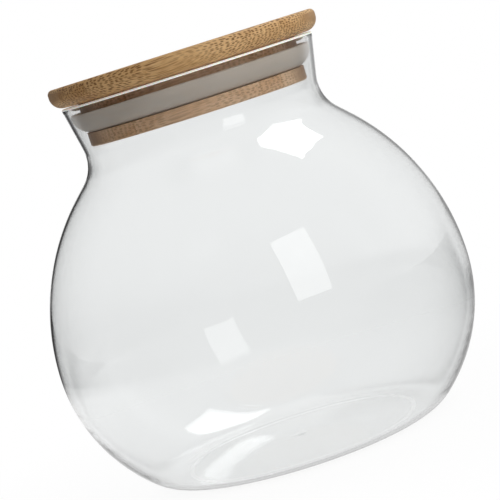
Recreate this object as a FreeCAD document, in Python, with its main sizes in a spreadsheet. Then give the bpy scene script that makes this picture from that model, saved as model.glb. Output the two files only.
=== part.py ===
import FreeCAD, Part
import Sketcher
import math
import os

# Food canister: a round-bellied jar of blown glass, closed by a bamboo lid.
# The lid is a board glued from flat bamboo strips. A plug of bamboo strips on edge is glued under it,
# and a silicone ring in the plug's groove bends up against the inside of the jar's neck.
# Millimetres, +Z up, origin at the centre of the foot that the jar stands on, bamboo grain along X.

SIZES = {
    # Glass jar
    "foot_radius": 54.0,  # outer edge of the flat ring that the jar stands on
    "foot_width": 4.0,  # width of that ring
    "punt_height": 3.0,  # rise of the base inside the ring
    "heel_radius": 21.0,  # round from the foot up into the belly
    "belly_radius": 92.0,  # widest outer radius
    "belly_height": 59.2,  # height of the widest circle
    "shoulder_arc": 101.7,  # radius of the arc above the widest circle
    "slope_length": 6.0,  # straight run between that arc and the bend of the neck
    "neck_bend": 15.6,  # radius of the hollow bend between shoulder and neck
    "neck_radius": 52.3,  # outer radius at the narrowest circle of the neck
    "neck_length": 21.8,  # from that circle up to the top of the rim
    "flare_angle": 11.0,  # lean of the neck wall, outwards from vertical, in degrees
    "base_wall": 2.2,  # glass thickness of the base
    "wall": 1.5,  # glass thickness from the belly up to the rim
    # Lid board
    "lid_overhang": 3.75,  # how far the board reaches past the rim all round
    "lid_gap": 1.0,  # air between the rim and the board, because the seal carries the lid
    "lid_thickness": 8.9,
    "lid_top_round": 2.2,  # round along the upper edge
    "lid_lower_round": 5.6,  # round along the lower edge
    "lid_strip_count": 7,  # strips across the board, of equal width
    # Plug under the board
    "plug_clearance": 2.2,  # gap between the plug and the narrowest circle of the neck
    "plug_length": 19.0,
    "flange_height": 5.8,  # plug below the seal's groove
    "groove_height": 4.0,
    "groove_depth": 4.0,
    "plug_chamfer": 0.5,  # along the plug's lower edge
    "plug_strip_count": 12,  # strips across the plug, of equal width
    # Silicone seal
    "seal_foot": 0.5,  # flat bottom of the seal before its lip starts to bend up
    "seal_lip": 1.2,  # thickness of the lip
    "seal_clearance": 0.3,  # gap between the lip and the glass
}

# Places where pieces meet, worked out from the sizes above.
FITS = {
    # The two arcs and the straight run between them turn from the belly into the neck.
    "bend_centre": "Sizes.neck_radius + Sizes.neck_bend",
    "both_arcs": "Sizes.shoulder_arc + Sizes.neck_bend",
    "turn_reach": "bend_centre + Sizes.shoulder_arc - Sizes.belly_radius",
    "turn": "acos(turn_reach / sqrt(both_arcs^2 + Sizes.slope_length^2))"
    " - atan(Sizes.slope_length / both_arcs)",
    "neck_height": "Sizes.belly_height + both_arcs * sin(turn) + Sizes.slope_length * cos(turn)",
    "rim_height": "neck_height + Sizes.neck_length",
    # The sloping inner wall of the neck, extended down to the height of the narrowest circle.
    "flare_slope": "tan(Sizes.flare_angle * 1deg)",
    "flare_cos": "cos(Sizes.flare_angle * 1deg)",
    "wall_inside": "bend_centre - (Sizes.neck_bend + Sizes.wall) / flare_cos",
    # The rim is a half circle on the middle of the wall.
    "rim_centre_height": "rim_height - Sizes.wall / 2",
    "rim_centre": "bend_centre - (Sizes.neck_bend + Sizes.wall / 2) / flare_cos"
    " + (rim_centre_height - neck_height) * flare_slope",
    "lid_radius": "rim_centre + Sizes.wall / 2 + Sizes.lid_overhang",
    "lid_seat": "rim_height + Sizes.lid_gap",
    "lid_top": "lid_seat + Sizes.lid_thickness",
    "plug_radius": "Sizes.neck_radius - Sizes.wall - Sizes.plug_clearance",
    "plug_bottom": "lid_seat - Sizes.plug_length",
    "groove_radius": "plug_radius - Sizes.groove_depth",
    "groove_bottom": "plug_bottom + Sizes.flange_height",
    "groove_top": "groove_bottom + Sizes.groove_height",
    # The lip is a quarter circle that starts level on the flange and passes the sloping glass with the
    # clearance between them.
    "lip_centre": "groove_radius + Sizes.seal_foot",
    "lip_curl": "((wall_inside + (groove_bottom - neck_height) * flare_slope - lip_centre) * flare_cos"
    " - Sizes.seal_clearance) / (1 - flare_slope * flare_cos)",
    "lip_height": "groove_bottom + lip_curl",
}

doc = FreeCAD.newDocument("food_canister")


def add_sheet(name, cells):
    """A sheet with one named cell in each row, its name beside it."""
    sheet = doc.addObject("Spreadsheet::Sheet", name)
    for row, (alias, content) in enumerate(cells.items(), start=1):
        sheet.set(f"A{row}", alias)
        sheet.set(f"B{row}", content)
        sheet.setAlias(f"B{row}", alias)
    doc.recompute()
    return sheet


sizes = add_sheet("Sizes", {alias: str(value) for alias, value in SIZES.items()})
fits = add_sheet("Fits", {alias: "=" + formula for alias, formula in FITS.items()})


def size(alias):
    """The value of a cell, from whichever sheet holds it."""
    sheet = sizes if alias in SIZES else fits
    return float(sheet.get(alias))


def bound(alias):
    """The expression that ties a property to a cell."""
    return f"{'Sizes' if alias in SIZES else 'Fits'}.{alias}"


# Sketch helpers: a profile is a closed chain of lines and arcs in the half plane of X and Z.

# A sketch numbers the vertices of a piece, and counts its own axes down from -1, in these orders.
VERTICES = ("none", "start", "end", "centre")
AXES = ("horizontal", "vertical")


def vertex(name):
    return VERTICES.index(name)


def axis_number(name):
    return -1 - AXES.index(name)


def point(place):
    return FreeCAD.Vector(place[0], place[1], 0)


def line(start, end):
    return {"shape": Part.LineSegment(point(start), point(end)), "first": "start", "last": "end"}


def arc(centre, start, end, clockwise=False):
    """A circular arc from start to end. The sketch keeps every arc counter-clockwise."""
    low, high = (end, start) if clockwise else (start, end)
    angles = [math.atan2(p[1] - centre[1], p[0] - centre[0]) for p in (low, high)]
    circle = Part.Circle(point(centre), FreeCAD.Vector(0, 0, 1), math.dist(centre, start))
    first, last = ("end", "start") if clockwise else ("start", "end")
    return {"shape": Part.ArcOfCircle(circle, *angles), "first": first, "last": last}


def tangent_points(centre_a, radius_a, side_a, centre_b, radius_b, side_b):
    """Where a straight line touches two circles. A side of 1 has the circle to the left of the line from
    a to b, and a side of -1 has it to the right."""
    run = (centre_b[0] - centre_a[0], centre_b[1] - centre_a[1])
    lean = math.asin((side_b * radius_b - side_a * radius_a) / math.hypot(*run))
    normal = math.atan2(run[1], run[0]) + math.pi / 2 - lean
    return [
        (c[0] - s * r * math.cos(normal), c[1] - s * r * math.sin(normal))
        for c, r, s in ((centre_a, radius_a, side_a), (centre_b, radius_b, side_b))
    ]


def arcs_meet(centre_a, radius_a, centre_b, sign):
    """The point of circle a on the line of both centres, away from b where sign is -1."""
    reach = sign * radius_a / math.dist(centre_a, centre_b)
    return tuple(a + (b - a) * reach for a, b in zip(centre_a, centre_b))


class Profile:
    """A sketch on a body's XZ plane whose chain of pieces is closed, with its sizes tied to the sheets."""

    def __init__(self, body, name, pieces, smooth):
        self.sketch = body.newObject("Sketcher::SketchObject", name)
        plane = next(p for p in body.Origin.OriginFeatures if p.Role == "XZ_Plane")
        self.sketch.AttachmentSupport = [(plane, "")]
        self.sketch.MapMode = "FlatFace"
        self.names = list(pieces)
        self.pieces = pieces
        for piece in pieces.values():
            self.sketch.addGeometry(piece["shape"], False)
        for name_a, name_b in zip(self.names, self.names[1:] + self.names[:1]):
            kind = "Tangent" if (name_a, name_b) in smooth else "Coincident"
            self.tie(kind, self.last(name_a), self.first(name_b))

    def first(self, name):
        return self.names.index(name), vertex(self.pieces[name]["first"])

    def last(self, name):
        return self.names.index(name), vertex(self.pieces[name]["last"])

    def centre(self, name):
        return self.names.index(name), vertex("centre")

    def tie(self, kind, *ends):
        """A relation between points, given as (piece, vertex) pairs."""
        self.sketch.addConstraint(Sketcher.Constraint(kind, *[n for end in ends for n in end]))

    def on_axis(self, end, axis):
        self.sketch.addConstraint(Sketcher.Constraint("PointOnObject", *end, axis_number(axis)))

    def straight(self, kind, name):
        """Makes a line Horizontal or Vertical."""
        self.sketch.addConstraint(Sketcher.Constraint(kind, self.names.index(name)))

    def measure(self, kind, end, expression, value):
        """A DistanceX or DistanceY from the origin to a point, tied to an expression."""
        origin = (axis_number("horizontal"), vertex("start"))
        number = self.sketch.addConstraint(Sketcher.Constraint(kind, *origin, *end, value))
        self.sketch.setExpression(f"Constraints[{number}]", expression)

    def across(self, end, alias):
        self.measure("DistanceX", end, bound(alias), size(alias))

    def up(self, end, alias):
        self.measure("DistanceY", end, bound(alias), size(alias))

    def radius(self, name, expression):
        index = self.names.index(name)
        value = self.sketch.Geometry[index].Radius
        number = self.sketch.addConstraint(Sketcher.Constraint("Radius", index, value))
        self.sketch.setExpression(f"Constraints[{number}]", expression)


def turned(label, profile_of):
    """A body made by turning a profile about the Z axis."""
    body = doc.addObject("PartDesign::Body", label)
    body.Label = label
    profile = profile_of(body)
    turn = body.newObject("PartDesign::Revolution", label + "_turn")
    turn.Profile = profile.sketch
    turn.ReferenceAxis = (profile.sketch, ["V_Axis"])
    turn.Angle = 360
    doc.recompute()
    return body


# Glass jar: one wall, with the outside drawn from the base up to the rim and the inside back down.


def jar_wall(inset_base, inset_wall):
    """Centres, radii and joints of one side of the wall, moved inwards by the given thicknesses."""
    foot = (size("foot_radius"), size("heel_radius"))
    heel = size("heel_radius") - inset_base
    widest = (size("belly_radius") - inset_wall, size("belly_height"))
    shoulder = size("shoulder_arc") - inset_wall
    shoulder_centre = (widest[0] - shoulder, widest[1])
    bend = size("neck_bend") + inset_wall
    bend_centre = (size("bend_centre"), size("neck_height"))
    rise = widest[1] - foot[1]
    reach = widest[0] - foot[0]
    belly = (reach**2 + rise**2 - heel**2) / (2 * (reach - heel))
    belly_centre = (widest[0] - belly, widest[1])
    shoulder_top, bend_low = tangent_points(shoulder_centre, shoulder, 1, bend_centre, bend, -1)
    return {
        "foot": foot,
        "floor": (foot[0], inset_base),
        "heel_top": arcs_meet(foot, heel, belly_centre, -1),
        "belly_centre": belly_centre,
        "widest": widest,
        "shoulder_centre": shoulder_centre,
        "shoulder_top": shoulder_top,
        "bend_low": bend_low,
        "bend": bend,
        "bend_centre": bend_centre,
    }


def punt(height, floor):
    """Centre and ends of the domed base between the axis and the inner edge of the foot ring."""
    edge = (size("foot_radius") - size("foot_width"), floor)
    top = (0, floor + height)
    radius = (edge[0] ** 2 + height**2) / (2 * height)
    return (0, top[1] - radius), top, edge


def jar_profile(body):
    outside = jar_wall(0, 0)
    inside = jar_wall(size("base_wall"), size("wall"))
    rim = (size("rim_centre"), size("rim_centre_height"))
    half_wall = size("wall") / 2
    flare_low, rim_out = tangent_points(outside["bend_centre"], outside["bend"], -1, rim, half_wall, 1)
    inner_low, rim_in = tangent_points(inside["bend_centre"], inside["bend"], -1, rim, half_wall, -1)
    under_centre, under_top, under_edge = punt(size("punt_height"), 0)
    floor_centre, floor_top, floor_edge = punt(size("punt_height"), size("base_wall"))
    pieces = {
        "base": arc(under_centre, under_top, under_edge, clockwise=True),
        "foot_ring": line(under_edge, outside["floor"]),
        "heel": arc(outside["foot"], outside["floor"], outside["heel_top"]),
        "belly": arc(outside["belly_centre"], outside["heel_top"], outside["widest"]),
        "shoulder": arc(outside["shoulder_centre"], outside["widest"], outside["shoulder_top"]),
        "slope": line(outside["shoulder_top"], outside["bend_low"]),
        "bend": arc(outside["bend_centre"], outside["bend_low"], flare_low, clockwise=True),
        "flare": line(flare_low, rim_out),
        "rim": arc(rim, rim_out, rim_in),
        "inner_flare": line(rim_in, inner_low),
        "inner_bend": arc(inside["bend_centre"], inner_low, inside["bend_low"]),
        "inner_slope": line(inside["bend_low"], inside["shoulder_top"]),
        "inner_shoulder": arc(inside["shoulder_centre"], inside["shoulder_top"], inside["widest"], True),
        "inner_belly": arc(inside["belly_centre"], inside["widest"], inside["heel_top"], True),
        "inner_heel": arc(inside["foot"], inside["heel_top"], inside["floor"], True),
        "inner_ring": line(inside["floor"], floor_edge),
        "floor": arc(floor_centre, floor_edge, floor_top),
        "axis": line(floor_top, under_top),
    }
    names = list(pieces)
    corners = {("axis", "base"), ("base", "foot_ring"), ("inner_ring", "floor"), ("floor", "axis")}
    wall = Profile(body, "jar_profile", pieces, set(zip(names, names[1:])) - corners)
    # Base and foot
    wall.on_axis(wall.centre("base"), "vertical")
    wall.on_axis(wall.first("base"), "vertical")
    wall.up(wall.first("base"), "punt_height")
    wall.on_axis(wall.first("foot_ring"), "horizontal")
    wall.on_axis(wall.last("foot_ring"), "horizontal")
    wall.across(wall.last("foot_ring"), "foot_radius")
    ring_edge = f"{bound('foot_radius')} - {bound('foot_width')}"
    wall.measure("DistanceX", wall.first("foot_ring"), ring_edge, under_edge[0])
    # Outside of the belly, shoulder and neck
    wall.radius("heel", bound("heel_radius"))
    wall.across(wall.last("belly"), "belly_radius")
    wall.up(wall.last("belly"), "belly_height")
    wall.tie("Horizontal", wall.centre("belly"), wall.last("belly"))
    wall.radius("shoulder", bound("shoulder_arc"))
    wall.across(wall.centre("bend"), "bend_centre")
    wall.up(wall.centre("bend"), "neck_height")
    wall.radius("bend", bound("neck_bend"))
    wall.across(wall.centre("rim"), "rim_centre")
    wall.up(wall.centre("rim"), "rim_centre_height")
    wall.radius("rim", f"{bound('wall')} / 2")
    # Inside, which shares the centres of the outside's arcs
    wall.tie("Coincident", wall.centre("inner_bend"), wall.centre("bend"))
    wall.radius("inner_bend", f"{bound('neck_bend')} + {bound('wall')}")
    wall.tie("Coincident", wall.centre("inner_shoulder"), wall.centre("shoulder"))
    wall.radius("inner_shoulder", f"{bound('shoulder_arc')} - {bound('wall')}")
    wall.tie("Horizontal", wall.centre("inner_shoulder"), wall.last("inner_shoulder"))
    wall.tie("Coincident", wall.centre("inner_heel"), wall.centre("heel"))
    wall.radius("inner_heel", f"{bound('heel_radius')} - {bound('base_wall')}")
    wall.straight("Horizontal", "inner_ring")
    wall.measure("DistanceX", wall.last("inner_ring"), ring_edge, floor_edge[0])
    wall.on_axis(wall.centre("floor"), "vertical")
    wall.on_axis(wall.last("floor"), "vertical")
    floor_height = f"{bound('punt_height')} + {bound('base_wall')}"
    wall.measure("DistanceY", wall.last("floor"), floor_height, floor_top[1])
    return wall


glass_jar = turned("glass_jar", jar_profile)


# Lid board: the round outline that is turned on the glued board, with both edges rounded.


def lid_profile(body):
    edge = size("lid_radius")
    low = size("lid_seat")
    high = size("lid_top")
    lower = size("lid_lower_round")
    upper = size("lid_top_round")
    pieces = {
        "underside": line((0, low), (edge - lower, low)),
        "lower_round": arc((edge - lower, low + lower), (edge - lower, low), (edge, low + lower)),
        "edge": line((edge, low + lower), (edge, high - upper)),
        "top_round": arc((edge - upper, high - upper), (edge, high - upper), (edge - upper, high)),
        "top": line((edge - upper, high), (0, high)),
        "axis": line((0, high), (0, low)),
    }
    names = list(pieces)
    board = Profile(body, "lid_profile", pieces, set(zip(names[:4], names[1:5])))
    board.on_axis(board.first("underside"), "vertical")
    board.on_axis(board.last("top"), "vertical")
    board.straight("Horizontal", "underside")
    board.straight("Vertical", "edge")
    board.straight("Horizontal", "top")
    board.up(board.first("underside"), "lid_seat")
    board.up(board.first("axis"), "lid_top")
    board.across(board.first("edge"), "lid_radius")
    board.radius("lower_round", bound("lid_lower_round"))
    board.radius("top_round", bound("lid_top_round"))
    return board


# Plug: a short cylinder with a groove for the seal and a chamfer along its lower edge.


def plug_profile(body):
    edge = size("plug_radius")
    groove = size("groove_radius")
    bottom = size("plug_bottom")
    chamfer = size("plug_chamfer")
    corners = [
        (0, bottom),
        (edge - chamfer, bottom),
        (edge, bottom + chamfer),
        (edge, size("groove_bottom")),
        (groove, size("groove_bottom")),
        (groove, size("groove_top")),
        (edge, size("groove_top")),
        (edge, size("lid_seat")),
        (0, size("lid_seat")),
    ]
    names = ["bottom", "chamfer", "flange", "ledge", "groove", "ceiling", "shank", "glued_face", "axis"]
    pieces = {name: line(p, q) for name, p, q in zip(names, corners, corners[1:] + corners[:1])}
    plug = Profile(body, "plug_profile", pieces, set())
    plug.on_axis(plug.first("bottom"), "vertical")
    plug.on_axis(plug.last("glued_face"), "vertical")
    for name in ("bottom", "ledge", "ceiling", "glued_face"):
        plug.straight("Horizontal", name)
    for name in ("flange", "groove", "shank"):
        plug.straight("Vertical", name)
    plug.up(plug.first("bottom"), "plug_bottom")
    plug.up(plug.first("ledge"), "groove_bottom")
    plug.up(plug.first("ceiling"), "groove_top")
    plug.up(plug.first("axis"), "lid_seat")
    plug.across(plug.first("flange"), "plug_radius")
    plug.across(plug.first("groove"), "groove_radius")
    plug.across(plug.first("shank"), "plug_radius")
    chamfer_edge = f"{bound('plug_radius')} - {bound('plug_chamfer')}"
    plug.measure("DistanceX", plug.last("bottom"), chamfer_edge, edge - chamfer)
    chamfer_top = f"{bound('plug_bottom')} + {bound('plug_chamfer')}"
    plug.measure("DistanceY", plug.last("chamfer"), chamfer_top, bottom + chamfer)
    return plug


def cut_into_strips(blank, stem, radius, count, low, high):
    """The strips that a turned blank was glued from: each is the blank's share of one band along X.
    The other arguments name the cells that hold the blank's radius, the number of strips and the heights
    of the blank's lower and upper face."""
    width = f"2 * {bound(radius)} / {bound(count)}"
    strips = []
    for number in range(round(size(count))):
        band = doc.addObject("Part::Box", f"{stem}_band_{number + 1}")
        band.setExpression("Length", f"2 * {bound(radius)}")
        band.setExpression("Width", width)
        band.setExpression("Height", f"{bound(high)} - {bound(low)}")
        band.setExpression("Placement.Base.x", f"-{bound(radius)}")
        band.setExpression("Placement.Base.y", f"{number} * {width} - {bound(radius)}")
        band.setExpression("Placement.Base.z", bound(low))
        strip = doc.addObject("Part::Common", f"{stem}_{number + 1}")
        strip.Label = f"{stem}_{number + 1}"
        strip.Base = band
        strip.Tool = blank
        strips.append(strip)
    doc.recompute()
    return strips


lid_blank = turned("lid_blank", lid_profile)
lid_strips = cut_into_strips(lid_blank, "lid_strip", "lid_radius", "lid_strip_count", "lid_seat", "lid_top")

plug_blank = turned("plug_blank", plug_profile)
plug_strips = cut_into_strips(
    plug_blank, "plug_strip", "plug_radius", "plug_strip_count", "plug_bottom", "lid_seat"
)


# Silicone seal: a block that fills the plug's groove, and a lip that bends from it up and outwards.


def seal_profile(body):
    groove = size("groove_radius")
    edge = size("plug_radius")
    low = size("groove_bottom")
    high = size("groove_top")
    curl = size("lip_curl")
    half_lip = size("seal_lip") / 2
    centre = (size("lip_centre"), size("lip_height"))
    tip = (centre[0] + curl - half_lip, centre[1])
    inner_curl = curl - size("seal_lip")
    root = (edge, centre[1] - math.sqrt(inner_curl**2 - (edge - centre[0]) ** 2))
    pieces = {
        "foot": line((groove, low), (centre[0], low)),
        "outer_lip": arc(centre, (centre[0], low), (centre[0] + curl, centre[1])),
        "tip": arc(tip, (tip[0] + half_lip, tip[1]), (tip[0] - half_lip, tip[1])),
        "inner_lip": arc(centre, (tip[0] - half_lip, tip[1]), root, clockwise=True),
        "shoulder": line(root, (edge, high)),
        "top": line((edge, high), (groove, high)),
        "seat": line((groove, high), (groove, low)),
    }
    smooth = {("foot", "outer_lip"), ("outer_lip", "tip"), ("tip", "inner_lip")}
    seal = Profile(body, "seal_profile", pieces, smooth)
    seal.straight("Horizontal", "foot")
    seal.straight("Horizontal", "top")
    seal.straight("Vertical", "shoulder")
    seal.straight("Vertical", "seat")
    seal.across(seal.first("foot"), "groove_radius")
    seal.up(seal.first("foot"), "groove_bottom")
    seal.across(seal.last("foot"), "lip_centre")
    seal.across(seal.first("top"), "plug_radius")
    seal.up(seal.first("top"), "groove_top")
    seal.radius("outer_lip", bound("lip_curl"))
    seal.radius("tip", f"{bound('seal_lip')} / 2")
    seal.tie("Coincident", seal.centre("inner_lip"), seal.centre("outer_lip"))
    seal.tie("Horizontal", seal.centre("tip"), seal.centre("outer_lip"))
    return seal


seal_ring = turned("seal_ring", seal_profile)

pieces_of_canister = [glass_jar, *lid_strips, *plug_strips, seal_ring]

for item in doc.Objects:
    if "Invalid" in item.State or "Error" in item.State:
        raise RuntimeError(f"{item.Label} did not come out: {item.State}")
for piece in pieces_of_canister:
    if piece.Shape.isNull() or not piece.Shape.isValid() or len(piece.Shape.Solids) != 1:
        raise RuntimeError(f"{piece.Label} is not one sound solid")

os.makedirs("parts", exist_ok=True)
for piece in pieces_of_canister:
    piece.Shape.exportStep(f"parts/{piece.Label}.step")
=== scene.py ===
import math

import bpy
import numpy as np
from mathutils import Matrix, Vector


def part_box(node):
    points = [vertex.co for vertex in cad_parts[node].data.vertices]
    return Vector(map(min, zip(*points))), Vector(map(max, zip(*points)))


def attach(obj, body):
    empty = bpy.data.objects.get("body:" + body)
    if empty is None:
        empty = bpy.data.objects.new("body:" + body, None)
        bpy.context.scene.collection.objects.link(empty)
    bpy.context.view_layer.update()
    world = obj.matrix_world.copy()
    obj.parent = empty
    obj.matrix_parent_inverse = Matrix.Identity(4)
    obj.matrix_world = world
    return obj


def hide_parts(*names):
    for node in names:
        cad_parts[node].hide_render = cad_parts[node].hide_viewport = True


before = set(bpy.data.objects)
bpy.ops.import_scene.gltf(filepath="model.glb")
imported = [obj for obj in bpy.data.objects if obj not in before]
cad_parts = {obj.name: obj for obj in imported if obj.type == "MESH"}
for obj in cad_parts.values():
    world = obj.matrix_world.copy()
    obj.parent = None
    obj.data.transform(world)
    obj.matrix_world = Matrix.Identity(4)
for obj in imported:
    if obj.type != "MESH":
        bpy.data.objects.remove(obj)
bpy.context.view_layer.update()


# Glass jar: a round-bellied jar of clear borosilicate glass, blown in a turning mould, so that it is round
# all over. The rim is cut and ground, the wall is thickest in the base and the neck, and the middle of the
# base keeps a small mark where the hot glass was cut off.
MM = 0.001  # sizes are in millimetres, and meshes in metres
jar_high = np.array(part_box("glass_jar")[1]) / MM
BELLY_RADIUS = jar_high[0]
RIM_RISE = 0.4  # the glass comes nearer to the lid than the solid, which leaves a millimetre free
RIM_HEIGHT = jar_high[2] + RIM_RISE
BELLY_HEIGHT = 59.2
FOOT_RADIUS = 54.0
FOOT_WIDTH = 4.0
PUNT_HEIGHT = 1.6
HEEL_RADIUS = 21.0
SHOULDER_ARC = 101.7
SLOPE_LENGTH = 6.0
NECK_BEND = 15.6
NECK_RADIUS = 52.3
FLARE_ANGLE = math.radians(11)
BASE_WALL = 1.5
BELLY_WALL = 0.9
NECK_WALL = 1.5
HEEL_HEIGHTS = (2, 40)  # heights between which the wall thins from the base's to the belly's
NECK_HEIGHTS = (137, 147)  # and between which it thickens from the belly's to the neck's
GROUND_EDGE = 0.8  # how far down the rim is ground
CUT_MARK_RADIUS = 4.5
CUT_MARK_DEPTH = 0.06
BASE_ROWS = 44  # points of the outline from the axis to the foot ring
RIM_STEPS = 12  # points of the half circle over the rim, with both its ends
OUTLINE_STEP = 1.6  # spacing of the outline's points above the foot
CURVE_EASE = 5.0  # length over which hot glass eases from one curve into the next
SUM_STEPS = 400  # steps of the running sums within that length
TURNS = 256  # steps round a turned piece
GLASS_IOR = 1.47
GLASS_TINT = "f8f9f9"
GLASS_SHADE = "f2f2f1"  # of the light that passes through to what lies behind
STREAK_PITCH = 5.0  # the turning mould leaves faint streaks round the jar: their spacing, length and height
STREAK_LENGTH = 70.0
STREAK_HEIGHT = 0.04
GROUND_WHITE = "f6f6f2"
PAINTED_EDGE_GLOW = "fffaf0"  # painted glow of the ground edge, standing in for light the wall carries into it, and its strength
PAINTED_EDGE_GLOW_STRENGTH = 0.2
GROUND_SCATTER = 0.5  # share of the light that spreads inside the ground edge, and how far it goes
GROUND_SCATTER_DEPTH = 1.0
GRIT = 0.4  # the grinding stone's grit is finer than a pixel, and is drawn as coarse as this
GRIT_HEIGHT = 0.02
GRIT_BUMP = 0.3


def smooth_step(low, high, value):
    """0 below low, 1 above high, and an even S between them: 3 t squared less 2 t cubed."""
    share = np.clip((value - low) / (high - low), 0, 1)
    return share * share * (3 - 2 * share)


def outline_of_runs(start, runs, ease, step):
    """An outline from its curvature. Each run is (length, turn): the heading changes evenly along it by turn.
    The curvature is averaged over the length of ease, the heading is its running sum, and the place is the
    running sum of the heading's cosine and sine. What the averaging moves the end by is taken back evenly
    along the outline, so that it ends where the plain runs end."""
    lengths = np.array([length for length, turn in runs])
    curvatures = np.array([turn / length for length, turn in runs])
    fine = ease / SUM_STEPS
    along = np.arange(0, lengths.sum(), fine)
    run_of_step = np.searchsorted(np.cumsum(lengths), along, side="right").clip(0, len(runs) - 1)
    sharp = curvatures[run_of_step]
    window = np.hanning(SUM_STEPS + 2)
    half = len(window) // 2
    padded = np.pad(sharp, half, mode="edge")
    eased = np.convolve(padded, window / window.sum(), mode="same")[half:-half]

    def places(curvature):
        """The running sum of the heading's cosine and sine."""
        heading = np.cumsum(curvature) * fine
        return np.cumsum(np.stack([np.cos(heading), np.sin(heading)], axis=1), axis=0) * fine

    place = places(eased)
    place += (places(sharp)[-1] - place[-1]) * (along / along[-1])[:, None]
    kept = np.linspace(0, len(along) - 1, round(lengths.sum() / step) + 1).round().astype(int)
    return np.array(start) + place[kept]


def cut_mark(radius):
    """How far the cut mark hangs down at each radius: a bell round the axis."""
    return CUT_MARK_DEPTH * np.exp(-((2 * radius / CUT_MARK_RADIUS) ** 2))


def outside_of_jar():
    """The jar's outside from the axis to the rim, as (radius, height) rows. The base rises towards the axis
    by the punt times (1 less the square of the share of its radius) squared, with the cut mark hanging in
    its middle. From the foot ring on, it is runs of arcs and straights that touch without a corner."""
    ring_start = FOOT_RADIUS - FOOT_WIDTH
    radius = np.linspace(0, ring_start, BASE_ROWS)[:-1]
    dome = PUNT_HEIGHT * (1 - (radius / ring_start) ** 2) ** 2
    base = np.stack([radius, dome - cut_mark(radius)], axis=1)
    reach = BELLY_RADIUS - FOOT_RADIUS
    rise = BELLY_HEIGHT - HEEL_RADIUS
    belly_arc = (reach**2 + rise**2 - HEEL_RADIUS**2) / (2 * (reach - HEEL_RADIUS))
    belly_turn = math.atan2(rise, FOOT_RADIUS - BELLY_RADIUS + belly_arc)
    both_arcs = SHOULDER_ARC + NECK_BEND
    turn_reach = NECK_RADIUS + NECK_BEND + SHOULDER_ARC - BELLY_RADIUS
    shoulder_turn = math.acos(turn_reach / math.hypot(both_arcs, SLOPE_LENGTH))
    shoulder_turn -= math.atan(SLOPE_LENGTH / both_arcs)
    bend_height = BELLY_HEIGHT + both_arcs * math.sin(shoulder_turn) + SLOPE_LENGTH * math.cos(shoulder_turn)
    flare_start = bend_height + NECK_BEND * math.sin(FLARE_ANGLE)
    bend_turn = shoulder_turn + FLARE_ANGLE
    runs = [
        (FOOT_WIDTH, 0),
        (HEEL_RADIUS * (math.pi / 2 - belly_turn), math.pi / 2 - belly_turn),
        (belly_arc * belly_turn, belly_turn),
        (SHOULDER_ARC * shoulder_turn, shoulder_turn),
        (SLOPE_LENGTH, 0),
        (NECK_BEND * bend_turn, -bend_turn),
        ((RIM_HEIGHT - NECK_WALL / 2 - flare_start) / math.cos(FLARE_ANGLE), 0),
    ]
    return np.concatenate([base, outline_of_runs((ring_start, 0), runs, CURVE_EASE, OUTLINE_STEP)])


def normals_of(outline):
    """The direction to the right of an outline's own direction, which is outwards on one that goes up."""
    along = np.gradient(outline, axis=0)
    along /= np.linalg.norm(along, axis=1, keepdims=True)
    return np.stack([along[:, 1], -along[:, 0]], axis=1)


def outline_of_jar():
    """The outside, a half circle over the rim, and the outside again moved in by the wall's thickness. The
    thickness goes from the base's to the belly's over the heel, and on to the neck's below the neck. The
    inside of the base has no cut mark."""
    outside = outside_of_jar()
    normals = normals_of(outside)
    normals[0] = (0, -1)
    height = outside[:, 1]
    wall = BASE_WALL + (BELLY_WALL - BASE_WALL) * smooth_step(*HEEL_HEIGHTS, height)
    wall += (NECK_WALL - BELLY_WALL) * smooth_step(*NECK_HEIGHTS, height)
    inside = outside - normals * wall[:, None]
    inside[:, 1] += cut_mark(outside[:, 0])
    inside[0, 0] = 0
    rim_centre = (outside[-1] + inside[-1]) / 2
    half = (outside[-1] - inside[-1]) / 2
    turn = np.linspace(0, math.pi, RIM_STEPS)[1:-1, None]
    rim = rim_centre + half * np.cos(turn) + np.array([-half[1], half[0]]) * np.sin(turn)
    return np.concatenate([outside, rim, inside[::-1]])


def turned_piece(name, outline):
    """Carries an outline of (radius, height) rows in millimetres once round the Z axis. Column k of the grid
    is the outline turned by k / TURNS of a circle. The outline starts and ends on the axis, where a fan of
    triangles closes each pole."""
    ring = outline[1:-1]
    angle = np.linspace(0, 2 * math.pi, TURNS, endpoint=False)
    radius = ring[:, 0, None]
    height = np.broadcast_to(ring[:, 1, None], (len(ring), TURNS))
    grid = np.stack([radius * np.cos(angle), radius * np.sin(angle), height], axis=2).reshape(-1, 3)
    poles = np.array([[0, 0, outline[0, 1]], [0, 0, outline[-1, 1]]])
    rows = np.arange(len(ring) - 1)[:, None] * TURNS
    over = rows + TURNS
    step = np.arange(TURNS)
    after = (step + 1) % TURNS
    quads = np.stack([rows + step, rows + after, over + after, over + step], axis=2).reshape(-1, 4)
    last = (len(ring) - 1) * TURNS
    first_fan = np.stack([np.full(TURNS, len(grid)), after, step], axis=1)
    last_fan = np.stack([np.full(TURNS, len(grid) + 1), last + step, last + after], axis=1)
    places = np.concatenate([grid, poles]) * MM
    mesh = bpy.data.meshes.new(name)
    mesh.from_pydata(places.tolist(), [], quads.tolist() + first_fan.tolist() + last_fan.tolist())
    mesh.shade_smooth()
    piece = bpy.data.objects.new(name, mesh)
    bpy.context.scene.collection.objects.link(piece)
    return piece


def add_node(tree, kind, settings=None, **inputs):
    """Adds a node with its settings, and fills its inputs. An input's name has underscores for spaces, or is
    a number after an underscore; a node or a socket is linked, and anything else is a plain value."""
    node = tree.nodes.new(kind)
    for name, value in (settings or {}).items():
        setattr(node, name, value)
    for name, value in inputs.items():
        socket = node.inputs[int(name[1:]) if name.startswith("_") else name.replace("_", " ")]
        if isinstance(value, bpy.types.Node):
            value = next(out for out in value.outputs if out.enabled)
        if isinstance(value, bpy.types.NodeSocket):
            tree.links.new(value, socket)
        else:
            socket.default_value = value
    return node


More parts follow.
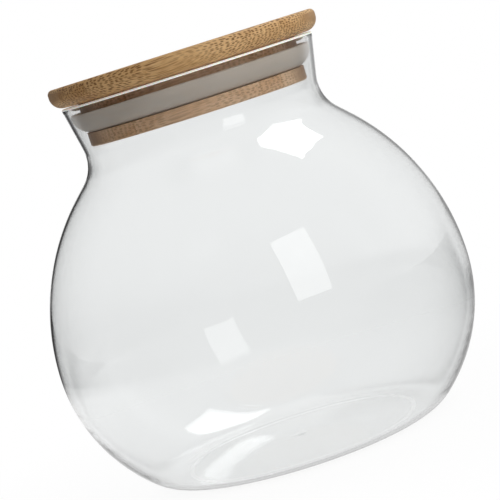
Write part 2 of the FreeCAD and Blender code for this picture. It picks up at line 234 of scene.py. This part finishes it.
def change(low, high, at_low=0.0, at_high=1.0):
    """The inputs of a Map Range node whose result goes from at_low to at_high while its value goes from low
    to high."""
    return {"From_Min": low, "From_Max": high, "To_Min": at_low, "To_Max": at_high}


def linear(hex_colour):
    """An sRGB hex colour such as "d8c29a" as linear red, green, blue and a full alpha, by the sRGB curve."""
    srgb = np.array([int(hex_colour[i : i + 2], 16) for i in (0, 2, 4)]) / 255
    light = np.where(srgb <= 0.04045, srgb / 12.92, ((srgb + 0.055) / 1.055) ** 2.4)
    return (*light.tolist(), 1.0)


def new_material(name):
    """An empty node material, with its tree and its output."""
    material = bpy.data.materials.new(name)
    material.use_nodes = True
    material.node_tree.nodes.clear()
    return material, material.node_tree, material.node_tree.nodes.new("ShaderNodeOutputMaterial")


def blown_borosilicate_glass():
    """Clear blown glass. It mirrors the room faintly, with a slight waver from the mould's streaks, and the
    bent edge of its wall looks dark. Light from the lamps passes straight through to the lid inside, as
    through any thin wall."""
    material, tree, output = new_material("blown borosilicate glass")
    place = add_node(tree, "ShaderNodeTexCoord").outputs["Object"]
    pitches = tuple(1 / (length * MM) for length in (STREAK_LENGTH, STREAK_LENGTH, STREAK_PITCH))
    along = add_node(tree, "ShaderNodeVectorMath", {"operation": "MULTIPLY"}, _0=place, _1=pitches)
    streaks = add_node(tree, "ShaderNodeTexNoise", Vector=along, Scale=1.0, Detail=2.0)
    bump = add_node(tree, "ShaderNodeBump", Strength=1.0, Distance=STREAK_HEIGHT * MM, Height=streaks)
    glass = add_node(
        tree,
        "ShaderNodeBsdfPrincipled",
        Base_Color=linear(GLASS_TINT),
        Roughness=0.0,
        IOR=GLASS_IOR,
        Transmission_Weight=1.0,
        Normal=bump,
    )
    clear = add_node(tree, "ShaderNodeBsdfTransparent", Color=linear(GLASS_SHADE))
    path = add_node(tree, "ShaderNodeLightPath")
    scattered = add_node(
        tree,
        "ShaderNodeMath",
        {"operation": "MAXIMUM"},
        _0=path.outputs["Is Shadow Ray"],
        _1=path.outputs["Is Diffuse Ray"],
    )
    shader = add_node(tree, "ShaderNodeMixShader", _0=scattered, _1=glass, _2=clear)
    tree.links.new(shader.outputs[0], output.inputs["Surface"])
    return material


GROUND_GLOSS = change(0, 1, 0.4, 0.6)  # roughness of the ground edge, from its grit's hollows to the tops


def ground_glass():
    """The cut edge of the rim, ground to a fine satin. It scatters the light, and a painted glow brightens
    it, so it is a thin white line.
    """
    material, tree, output = new_material("ground glass edge")
    place = add_node(tree, "ShaderNodeTexCoord").outputs["Object"]
    grit = add_node(tree, "ShaderNodeTexNoise", Vector=place, Scale=1 / (GRIT * MM), Detail=2.0)
    gloss = add_node(tree, "ShaderNodeMapRange", Value=grit, **GROUND_GLOSS)
    bump = add_node(tree, "ShaderNodeBump", Strength=GRIT_BUMP, Distance=GRIT_HEIGHT * MM, Height=grit)
    surface = add_node(
        tree,
        "ShaderNodeBsdfPrincipled",
        Base_Color=linear(GROUND_WHITE),
        Roughness=gloss,
        IOR=GLASS_IOR,
        Normal=bump,
        Subsurface_Weight=GROUND_SCATTER,
        Subsurface_Scale=GROUND_SCATTER_DEPTH * MM,
        # Painted glow: the ground edge gives off light of its own, though it is no lamp.
        Emission_Color=linear(PAINTED_EDGE_GLOW),
        Emission_Strength=PAINTED_EDGE_GLOW_STRENGTH,
    )
    tree.links.new(surface.outputs[0], output.inputs["Surface"])
    return material


jar = turned_piece("glass_jar_blown", outline_of_jar())
jar.data.materials.append(blown_borosilicate_glass())
jar.data.materials.append(ground_glass())
centres = np.zeros((len(jar.data.polygons), 3), dtype=np.float32)
jar.data.polygons.foreach_get("center", centres.ravel())
is_ground = centres[:, 2] > (RIM_HEIGHT - GROUND_EDGE) * MM
jar.data.polygons.foreach_set("material_index", is_ground.astype(np.int32))
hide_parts("glass_jar")
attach(jar, "jar")


# Bamboo: the lid's board is glued from flat strips and the plug under it from strips on edge. Each strip is
# split from the wall of a bamboo stem, planed and glued, and the round is turned and sanded. Its fibre
# bundles run along X: dark dots where the edge cuts across them, and streaks where it runs along them.
BUNDLE_HEIGHTS = (0.65, 0.9)  # spacing of the bundles up a strip, near the stem's skin and near its hollow
BUNDLE_SPREAD = 0.5  # power by which they lie wider apart the farther they are from the board's edge
BUNDLE_COUNT = 6.6  # bundles in the outermost millimetre
BUNDLE_STRAY = 0.6  # how far they stray from an even spacing
BUNDLE_FADE = change(0.18, 0.44, 1.0, 0.0)  # shares of the spacing where a bundle's core and the bundle end
BUNDLE_BROWN = "5f3814"
BOARD_COARSENESS = 1.0
PLUG_COARSENESS = 1.25  # the plug's bundles are this much coarser
BOARD_TONES = ("ac7d45", "e0b985")  # the darkest and the palest ground between the bundles
PLUG_TONES = ("d0a076", "eccaa8")
BOARD_CONTRAST = 0.85  # how dark the bundles are where they are cut across
PLUG_CONTRAST = 0.42
STREAK_SHARE = 0.45  # share of that contrast where the edge runs along the fibres
CUT_START = 0.35  # how far a face is turned towards the fibres' ends when the bundles show fully
END_GRAIN = change(0.8, 0.95)  # and when it counts as end grain
END_SHARE = 0.25  # share of the contrast on end grain
OIL_AND_SHADE_SHARE = 0.6  # how much the oiling darkens end grain; it is also painted shade on the lid's ends
OIL_AND_SHADE_BROWN = "7a5126"
GRAIN_LEAN = 0.15  # sideways run of the fibres for each millimetre along X
FIBRE_WAVER = 4.0  # how far they waver to the side, and over which length
FIBRE_WAVE_LENGTH = 45.0
STRIP_SHIFT = (200, 60, 60)  # no two strips are alike: the most by which a strip's pattern is shifted
BUNDLE_SHIFT = (50, 50, 0)  # the same for its bundles, in bundles
STRIP_TONE = 0.35  # how much the strips differ
PAINTED_SHADE_ALONG_X = 0.003  # painted shade: paler by this for each millimetre along X, towards the lamps
TONE_RANGE = change(0.6, 1.6)  # the sum of all that changes the tone, at the darkest and the palest
TONE_DRIFT = (60, 6)  # length and width of the patches in which the tone drifts
FINE_FIBRE = (40, 0.5)  # single fibres are finer than a pixel, so they are drawn in strands of this size
GLUE_WIDTH = 0.25  # a real glue line is thinner, and is drawn as wide as this to be seen
GLUE_SHARE = 0.3
GLUE_BROWN = "8a5f33"
BAMBOO_GLOSS = change(0, 1, 0.4, 0.62)
BAMBOO_SPECULAR = 0.25  # oiled bamboo mirrors less than a lacquered one
BAMBOO_RELIEF = 0.05
BAMBOO_BUMP = 0.3
EASED = {"interpolation_type": "SMOOTHSTEP"}


def along_grain(length, width):
    """The scale of a pattern that repeats every length along the grain and every width across it."""
    return (1 / length, 1 / width, 1 / width)


def split_bamboo(name, nodes, on_edge, coarseness, tones, contrast):
    """Planed and sanded bamboo, tan with darker fibre bundles, each strip a little different in tone. The end
    grain drinks more of the oiling than the sides, so it is darker there and the bundles stand out less; that
    darkening is also painted shade on the lid's ends. The tone getting paler along X is painted shade too. A
    bundle is a cell of a Voronoi pattern whose axes are the height and the rank: the count times a power of
    the depth, which is the distance from the board's front or back edge along Y, bent by the fibres' lean and
    waver."""
    low, high = (np.array(corner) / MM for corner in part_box(nodes[0]))
    strip_width = high[1] - low[1]
    material, tree, output = new_material(name)
    coordinates = add_node(tree, "ShaderNodeTexCoord")
    metres = coordinates.outputs["Object"]
    place = add_node(tree, "ShaderNodeVectorMath", {"operation": "SCALE"}, Vector=metres, Scale=1 / MM)
    axes = add_node(tree, "ShaderNodeSeparateXYZ", Vector=place)
    strips = change(low[1], high[1])
    across = add_node(tree, "ShaderNodeMapRange", {"clamp": False}, Value=axes.outputs["Y"], **strips)
    number = add_node(tree, "ShaderNodeMath", {"operation": "FLOOR"}, _0=across)
    within = add_node(tree, "ShaderNodeMath", {"operation": "FRACT"}, _0=across)
    chance = add_node(tree, "ShaderNodeTexWhiteNoise", {"noise_dimensions": "1D"}, W=number)
    own_place = add_node(
        tree,
        "ShaderNodeVectorMath",
        {"operation": "MULTIPLY_ADD"},
        _0=chance.outputs["Color"],
        _1=STRIP_SHIFT,
        _2=place,
    )

    # The fibres' waver and lean give each point its depth, and the depth its rank among the bundles.
    wave_scale = along_grain(FIBRE_WAVE_LENGTH, FIBRE_WAVE_LENGTH / 2)
    waves = add_node(tree, "ShaderNodeVectorMath", {"operation": "MULTIPLY"}, _0=own_place, _1=wave_scale)
    waver = add_node(tree, "ShaderNodeTexNoise", Vector=waves, Scale=1.0, Detail=3.0)
    wavering = add_node(
        tree,
        "ShaderNodeVectorMath",
        {"operation": "MULTIPLY_ADD"},
        _0=waver.outputs["Color"],
        _1=(0, FIBRE_WAVER, FIBRE_WAVER),
        _2=place,
    )
    fibre = add_node(tree, "ShaderNodeSeparateXYZ", Vector=wavering)
    leaning = add_node(
        tree,
        "ShaderNodeMath",
        {"operation": "MULTIPLY_ADD"},
        _0=fibre.outputs["X"],
        _1=GRAIN_LEAN,
        _2=fibre.outputs["Y"],
    )
    aside = add_node(tree, "ShaderNodeMath", {"operation": "ABSOLUTE"}, _0=leaning)
    edge = FIBRE_WAVER - low[1]
    depth = add_node(tree, "ShaderNodeMath", {"operation": "SUBTRACT"}, _0=edge, _1=aside)
    rank = add_node(tree, "ShaderNodeMath", {"operation": "POWER"}, _0=depth, _1=BUNDLE_SPREAD)
    count = BUNDLE_COUNT / coarseness
    rank = add_node(tree, "ShaderNodeMath", {"operation": "MULTIPLY"}, _0=rank, _1=count)

    def bundle_dots(spacing):
        """1 in the middle of each fibre bundle, falling to 0 at its edge."""
        layer = add_node(tree, "ShaderNodeMath", {"operation": "DIVIDE"}, _0=fibre.outputs["Z"], _1=spacing)
        section = add_node(tree, "ShaderNodeCombineXYZ", X=rank, Y=layer)
        shifted = add_node(
            tree,
            "ShaderNodeVectorMath",
            {"operation": "MULTIPLY_ADD"},
            _0=chance.outputs["Color"],
            _1=BUNDLE_SHIFT,
            _2=section,
        )
        cells = add_node(
            tree,
            "ShaderNodeTexVoronoi",
            {"voronoi_dimensions": "2D"},
            Vector=shifted,
            Scale=1.0,
            Randomness=BUNDLE_STRAY,
        )
        return add_node(tree, "ShaderNodeMapRange", EASED, Value=cells, **BUNDLE_FADE)

    # A flat strip has the stem's skin below and its hollow above, and a strip on edge has them at its sides.
    board = change(low[2], high[2])
    height = add_node(tree, "ShaderNodeMapRange", EASED, Value=axes.outputs["Z"], **board)
    inwards = within if on_edge else height
    skin_dots, hollow_dots = (bundle_dots(spacing * coarseness) for spacing in BUNDLE_HEIGHTS)
    bundles = add_node(tree, "ShaderNodeMix", Factor=inwards, A=skin_dots, B=hollow_dots)
    facing = add_node(tree, "ShaderNodeSeparateXYZ", Vector=coordinates.outputs["Normal"]).outputs["X"]
    facing = add_node(tree, "ShaderNodeMath", {"operation": "ABSOLUTE"}, _0=facing)
    end_grain = add_node(tree, "ShaderNodeMapRange", EASED, Value=facing, **END_GRAIN)
    cutting = change(0, CUT_START, STREAK_SHARE * contrast, contrast)
    cut_across = add_node(tree, "ShaderNodeMapRange", EASED, Value=facing, **cutting)
    bundle_share = add_node(tree, "ShaderNodeMix", Factor=end_grain, A=cut_across, B=END_SHARE * contrast)
    bundles = add_node(tree, "ShaderNodeMath", {"operation": "MULTIPLY"}, _0=bundles, _1=bundle_share)

    # The ground's tone drifts in patches, and changes with the strands, the strip and the place along it. The
    # change along X is painted shade: the strips are darker away from the lamps.
    fine_scale = along_grain(*FINE_FIBRE)
    fine = add_node(tree, "ShaderNodeVectorMath", {"operation": "MULTIPLY"}, _0=wavering, _1=fine_scale)
    strands = add_node(tree, "ShaderNodeTexNoise", Vector=fine, Scale=1.0, Detail=2.0)
    drift_scale = along_grain(*TONE_DRIFT)
    patches = add_node(tree, "ShaderNodeVectorMath", {"operation": "MULTIPLY"}, _0=own_place, _1=drift_scale)
    drift = add_node(tree, "ShaderNodeTexNoise", Vector=patches, Scale=1.0, Detail=2.0)
    tone = add_node(tree, "ShaderNodeMath", {"operation": "ADD"}, _0=drift, _1=strands)
    # The term along X is painted shade: the strips get paler towards +X, where the lamps are.
    for source, share in ((chance.outputs["Value"], STRIP_TONE), (axes.outputs["X"], PAINTED_SHADE_ALONG_X)):
        tone = add_node(tree, "ShaderNodeMath", {"operation": "MULTIPLY_ADD"}, _0=source, _1=share, _2=tone)
    tone = add_node(tree, "ShaderNodeMapRange", Value=tone, **TONE_RANGE)

    # A glue line lies along each side of a strip, apart from the board's own front and back edges.
    middle = add_node(tree, "ShaderNodeMath", {"operation": "SUBTRACT"}, _0=within, _1=0.5)
    middle = add_node(tree, "ShaderNodeMath", {"operation": "ABSOLUTE"}, _0=middle)
    line = change(0.5 - GLUE_WIDTH / strip_width, 0.5, 0.0, GLUE_SHARE)
    glue = add_node(tree, "ShaderNodeMapRange", EASED, Value=middle, **line)
    outwards = add_node(tree, "ShaderNodeMath", {"operation": "ABSOLUTE"}, _0=axes.outputs["Y"])
    last_glue = -low[1] - strip_width / 2
    glued = add_node(tree, "ShaderNodeMath", {"operation": "LESS_THAN"}, _0=outwards, _1=last_glue)
    glue = add_node(tree, "ShaderNodeMath", {"operation": "MULTIPLY"}, _0=glue, _1=glued)
    # The oiling darkens end grain, and this darkening is also painted shade on the lid's ends.
    oil_and_shade = add_node(tree, "ShaderNodeMath", {"operation": "MULTIPLY"}, _0=end_grain, _1=OIL_AND_SHADE_SHARE)

    dark, pale = (linear(tone_colour) for tone_colour in tones)
    colour = add_node(tree, "ShaderNodeMix", {"data_type": "RGBA"}, Factor=tone, A=dark, B=pale)
    for share, brown in ((bundles, BUNDLE_BROWN), (oil_and_shade, OIL_AND_SHADE_BROWN), (glue, GLUE_BROWN)):
        stain = linear(brown)
        colour = add_node(tree, "ShaderNodeMix", {"data_type": "RGBA"}, Factor=share, A=colour, B=stain)
    gloss = add_node(tree, "ShaderNodeMapRange", Value=strands, **BAMBOO_GLOSS)
    relief = add_node(tree, "ShaderNodeMath", {"operation": "SUBTRACT"}, _0=strands, _1=bundles)
    bump = add_node(tree, "ShaderNodeBump", Strength=BAMBOO_BUMP, Distance=BAMBOO_RELIEF * MM, Height=relief)
    surface = add_node(
        tree,
        "ShaderNodeBsdfPrincipled",
        Base_Color=colour,
        Roughness=gloss,
        Specular_IOR_Level=BAMBOO_SPECULAR,
        Normal=bump,
    )
    tree.links.new(surface.outputs[0], output.inputs["Surface"])
    return material


def strips_called(start):
    """The CAD strips whose names begin with start, from front to back."""
    strips = [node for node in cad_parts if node.startswith(start)]
    return sorted(strips, key=lambda node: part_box(node)[0][1])


board_strips = strips_called("lid_strip")
plug_strips = strips_called("plug_strip")
flat_bamboo = split_bamboo(
    "sanded bamboo, strips laid flat", board_strips, False, BOARD_COARSENESS, BOARD_TONES, BOARD_CONTRAST
)
edge_bamboo = split_bamboo(
    "sanded bamboo, strips on edge", plug_strips, True, PLUG_COARSENESS, PLUG_TONES, PLUG_CONTRAST
)
for node in board_strips + plug_strips:
    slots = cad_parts[node].data.materials
    slots.clear()
    slots.append(flat_bamboo if node in board_strips else edge_bamboo)


# Silicone seal: a moulded ring of translucent grey silicone rubber, stretched over the plug into its groove.
# Its lip is a thin bowl that bends up and presses against the inside of the neck.
SILICONE_GREY = "dccdc0"
SILICONE_SCATTER = 0.9  # share of the light that spreads inside it
SILICONE_SCATTER_REACH = (1.0, 0.9, 0.8)  # how far its red, green and blue go, as shares of the depth
SILICONE_SCATTER_DEPTH = 6.0
SILICONE_GLOSS = change(0, 1, 0.38, 0.52)
BLAST_GRAIN = 0.8  # the mould's blasted grain is finer than a pixel, and is drawn as coarse as this
BLAST_DEPTH = 0.02
BLAST_BUMP = 0.2


def moulded_silicone():
    """Translucent silicone rubber from a fine-blasted mould: soft grey and nearly matt, with a faint grain,
    and light that spreads inside it."""
    material, tree, output = new_material("moulded silicone rubber")
    place = add_node(tree, "ShaderNodeTexCoord").outputs["Object"]
    grain = add_node(tree, "ShaderNodeTexNoise", Vector=place, Scale=1 / (BLAST_GRAIN * MM), Detail=3.0)
    gloss = add_node(tree, "ShaderNodeMapRange", Value=grain, **SILICONE_GLOSS)
    bump = add_node(tree, "ShaderNodeBump", Strength=BLAST_BUMP, Distance=BLAST_DEPTH * MM, Height=grain)
    surface = add_node(
        tree,
        "ShaderNodeBsdfPrincipled",
        Base_Color=linear(SILICONE_GREY),
        Roughness=gloss,
        Normal=bump,
        Subsurface_Weight=SILICONE_SCATTER,
        Subsurface_Radius=SILICONE_SCATTER_REACH,
        Subsurface_Scale=SILICONE_SCATTER_DEPTH * MM,
    )
    tree.links.new(surface.outputs[0], output.inputs["Surface"])
    return material


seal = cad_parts["seal_ring"]
seal.data.materials.clear()
seal.data.materials.append(moulded_silicone())


# Floor: a wide sheet of white paper under the jar, which keeps a soft shadow close to it. The glass mirrors
# it only near the jar, and farther out as the room round it. The room's levels of light are given here, where
# 1 is white. Directions are parts of a unit length along X, Y or Z, and places on the floor are in metres.
FRONT_LEVEL = change(-1.0, 1.0, 0.1, 0.26)  # in front of the jar, from left to right
OVERHEAD_LEVEL = change(0.1, 0.9, 0.0, 0.14)  # added to it towards the ceiling
WALL_LEVEL = change(-0.2, 0.2, 0.42, 0.68)  # pale walls behind the jar, left and right
CARD_LEVEL = change(-0.2, 0.2, 0.05, 0.35)  # dark cards between the walls and the backdrop
CARD_END = change(0.25, 0.42)
BACKDROP_END = change(0.1, 0.22, 1.0, 0.0)
BACK_START = change(-0.3, 0.3)  # from what is in front to what is behind
SHADOW_END = change(0.08, 0.25, 0.96, 1.0)  # share of plain white in the soft shadow, and past its end
CONTACT_END = change(0.04, 0.075, 0.86, 1.0)  # the same under the jar
PAPER_LEVEL = change(0.03, 0.22, 0.95, 0.22)  # how bright the paper is in the glass, from left to right
PAPER_FRONT = change(-0.15, 0.05, 0.5, 1.0)  # and how much dimmer in front
PAPER_END = change(0.25, 0.5)  # where it has faded into the room
SIDE_LEVEL = change(0.5, 0.75, 1.0, 0.25)  # the far floor is dark at the sides
JAR_SIDE_SHARE = 0.65  # a place on the floor is less far aside as seen from the jar's side than from its axis
PAPER_WHITE = "f2f2f2"
WHITE = "ffffff"
FLOOR_HALF = 4.0


def seen_straight(tree):
    """1 for what the camera sees directly or straight through glass, and 0 for what is mirrored or lights."""
    path = add_node(tree, "ShaderNodeLightPath")
    bounced = add_node(
        tree,
        "ShaderNodeMath",
        {"operation": "ADD", "use_clamp": True},
        _0=path.outputs["Glossy Depth"],
        _1=path.outputs["Diffuse Depth"],
    )
    straight = add_node(tree, "ShaderNodeMath", {"operation": "SUBTRACT"}, _0=1.0, _1=bounced)
    passing = path.outputs["Is Transmission Ray"]
    through = add_node(tree, "ShaderNodeMath", {"operation": "MULTIPLY"}, _0=passing, _1=straight)
    direct = path.outputs["Is Camera Ray"]
    return add_node(tree, "ShaderNodeMath", {"operation": "MAXIMUM"}, _0=direct, _1=through)


def room_light(tree, direction):
    """How bright the room is that way. In front it is dim. Behind the jar there are pale walls, the right one
    paler than the left, then a dark card on each side, and the narrow white backdrop between the cards."""
    axes = add_node(tree, "ShaderNodeSeparateXYZ", Vector=direction)
    front = add_node(tree, "ShaderNodeMapRange", EASED, Value=axes.outputs["X"], **FRONT_LEVEL)
    overhead = add_node(tree, "ShaderNodeMapRange", EASED, Value=axes.outputs["Z"], **OVERHEAD_LEVEL)
    front = add_node(tree, "ShaderNodeMath", {"operation": "ADD"}, _0=front, _1=overhead)
    walls = add_node(tree, "ShaderNodeMapRange", EASED, Value=axes.outputs["X"], **WALL_LEVEL)
    cards = add_node(tree, "ShaderNodeMapRange", EASED, Value=axes.outputs["X"], **CARD_LEVEL)
    aside = add_node(tree, "ShaderNodeMath", {"operation": "ABSOLUTE"}, _0=axes.outputs["X"])
    past_cards = add_node(tree, "ShaderNodeMapRange", EASED, Value=aside, **CARD_END)
    back = add_node(tree, "ShaderNodeMix", Factor=past_cards, A=cards, B=walls)
    narrow = add_node(tree, "ShaderNodeMapRange", EASED, Value=aside, **BACKDROP_END)
    back = add_node(tree, "ShaderNodeMix", Factor=narrow, A=back, B=1.0)
    behind = add_node(tree, "ShaderNodeMapRange", EASED, Value=axes.outputs["Y"], **BACK_START)
    return add_node(tree, "ShaderNodeMix", Factor=behind, A=front, B=back)


def white_sweep():
    """White paper. What the camera sees of it is plain white, apart from the shadow round the jar. In the
    glass it fades with distance into the room, so that no edge shows there."""
    material, tree, output = new_material("white paper sweep")
    place = add_node(tree, "ShaderNodeTexCoord").outputs["Object"]
    far = add_node(tree, "ShaderNodeVectorMath", {"operation": "LENGTH"}, _0=place).outputs["Value"]
    paper = add_node(tree, "ShaderNodeBsdfDiffuse", Color=linear(PAPER_WHITE))
    white = add_node(tree, "ShaderNodeEmission", Color=linear(WHITE), Strength=1.0)
    shadow_end = add_node(tree, "ShaderNodeMapRange", EASED, Value=far, **SHADOW_END)
    contact_end = add_node(tree, "ShaderNodeMapRange", EASED, Value=far, **CONTACT_END)
    unshaded = add_node(tree, "ShaderNodeMath", {"operation": "MULTIPLY"}, _0=shadow_end, _1=contact_end)
    seen = add_node(tree, "ShaderNodeMixShader", _0=unshaded, _1=paper, _2=white)

    # In the glass, the far floor takes the room's light from the direction in which it lies.
    sides = (JAR_SIDE_SHARE, 1, 1)
    from_jar = add_node(tree, "ShaderNodeVectorMath", {"operation": "MULTIPLY"}, _0=place, _1=sides)
    direction = add_node(tree, "ShaderNodeVectorMath", {"operation": "NORMALIZE"}, _0=from_jar)
    aside = add_node(tree, "ShaderNodeSeparateXYZ", Vector=direction).outputs["X"]
    aside = add_node(tree, "ShaderNodeMath", {"operation": "ABSOLUTE"}, _0=aside)
    dark_sides = add_node(tree, "ShaderNodeMapRange", EASED, Value=aside, **SIDE_LEVEL)
    room = room_light(tree, direction)
    distant = add_node(tree, "ShaderNodeMath", {"operation": "MULTIPLY"}, _0=room, _1=dark_sides)
    axes = add_node(tree, "ShaderNodeSeparateXYZ", Vector=place)
    near = add_node(tree, "ShaderNodeMapRange", EASED, Value=axes.outputs["X"], **PAPER_LEVEL)
    in_front = add_node(tree, "ShaderNodeMapRange", EASED, Value=axes.outputs["Y"], **PAPER_FRONT)
    near = add_node(tree, "ShaderNodeMath", {"operation": "MULTIPLY"}, _0=near, _1=in_front)
    paper_end = add_node(tree, "ShaderNodeMapRange", EASED, Value=far, **PAPER_END)
    level = add_node(tree, "ShaderNodeMix", Factor=paper_end, A=near, B=distant)
    mirrored = add_node(tree, "ShaderNodeEmission", Color=linear(WHITE), Strength=level)
    glossy = add_node(tree, "ShaderNodeLightPath").outputs["Is Glossy Ray"]
    lit = add_node(tree, "ShaderNodeMixShader", _0=glossy, _1=paper, _2=mirrored)
    shader = add_node(tree, "ShaderNodeMixShader", _0=seen_straight(tree), _1=lit, _2=seen)
    tree.links.new(shader.outputs[0], output.inputs["Surface"])
    return material


floor_mesh = bpy.data.meshes.new("floor")
corners = np.array([(-1, -1, 0), (1, -1, 0), (1, 1, 0), (-1, 1, 0)]) * FLOOR_HALF
floor_mesh.from_pydata(corners.tolist(), [], [(0, 1, 2, 3)])
floor = bpy.data.objects.new("floor", floor_mesh)
floor.data.materials.append(white_sweep())
bpy.context.scene.collection.objects.link(floor)


# Light: a tall softbox in front on the right, a wider one high on the right and a little behind, and a large
# fill that the glass doesn't mirror. Round them is the dim room with its walls, cards and white backdrop.
AIM_HEIGHT = 0.09  # the softboxes face a point this high on the jar's axis, in metres


def studio_world():
    """The room. What is seen straight, or straight through the glass, is a white backdrop, and what the glass
    mirrors or the pieces are lit by is the room's light."""
    world = bpy.data.worlds.new("studio")
    world.use_nodes = True
    tree = world.node_tree
    tree.nodes.clear()
    output = tree.nodes.new("ShaderNodeOutputWorld")
    seen = seen_straight(tree)
    toward = add_node(tree, "ShaderNodeTexCoord").outputs["Generated"]
    room = add_node(tree, "ShaderNodeBackground", Color=linear(WHITE), Strength=room_light(tree, toward))
    backdrop = add_node(tree, "ShaderNodeBackground", Color=linear(WHITE), Strength=1.0)
    shader = add_node(tree, "ShaderNodeMixShader", _0=seen, _1=room, _2=backdrop)
    tree.links.new(shader.outputs[0], output.inputs["Surface"])
    return world


def softbox(name, azimuth, elevation, distance, width, height, radiance, roll=0, mirrored=True):
    """A rectangle of even light that faces the jar. Its power is its radiance times pi times its area."""
    lamp = bpy.data.lights.new(name, "AREA")
    lamp.shape = "RECTANGLE"
    lamp.size = width
    lamp.size_y = height
    lamp.energy = radiance * math.pi * width * height
    box = bpy.data.objects.new(name, lamp)
    round_jar = math.radians(azimuth)
    up = math.radians(elevation)
    level = math.cos(up)
    away = np.array([math.sin(round_jar) * level, -math.cos(round_jar) * level, math.sin(up)])
    box.matrix_world = (
        Matrix.Translation(away * distance + np.array([0, 0, AIM_HEIGHT]))
        @ Matrix.Rotation(round_jar, 4, "Z")
        @ Matrix.Rotation(math.pi / 2 - up, 4, "X")
        @ Matrix.Rotation(math.radians(roll), 4, "Z")
    )
    box.visible_glossy = mirrored
    box.visible_transmission = mirrored
    bpy.context.scene.collection.objects.link(box)


bpy.context.scene.world = studio_world()
softbox("front softbox", azimuth=28, elevation=20, distance=1.0, width=0.35, height=0.53, radiance=1.6)
softbox(
    "side softbox", azimuth=119, elevation=62.4, distance=1.0, width=0.52, height=0.44, radiance=4.3, roll=52
)
softbox("fill", azimuth=42, elevation=28, distance=1.0, width=1.1, height=0.7, radiance=1.4, mirrored=False)


# Camera: a long lens at the height of the lid, nearly square on to the jar and looking a little down. It is
# rolled, so that the jar, which stands upright here, leans to the left in the picture.
CAMERA_PLACE = (0.00275, -0.946, 0.1794)
LENS = 158.2
SENSOR_WIDTH = 36.0
LOOK_DOWN = 5.54
ROLL = -17.6

camera_data = bpy.data.cameras.new("camera")
camera_data.lens = LENS
camera_data.sensor_width = SENSOR_WIDTH
camera = bpy.data.objects.new("camera", camera_data)
camera.matrix_world = (
    Matrix.Translation(CAMERA_PLACE)
    @ Matrix.Rotation(math.radians(90 - LOOK_DOWN), 4, "X")
    @ Matrix.Rotation(math.radians(ROLL), 4, "Z")
)
bpy.context.scene.collection.objects.link(camera)
bpy.context.scene.camera = camera
bpy.context.scene.view_settings.view_transform = "Standard"
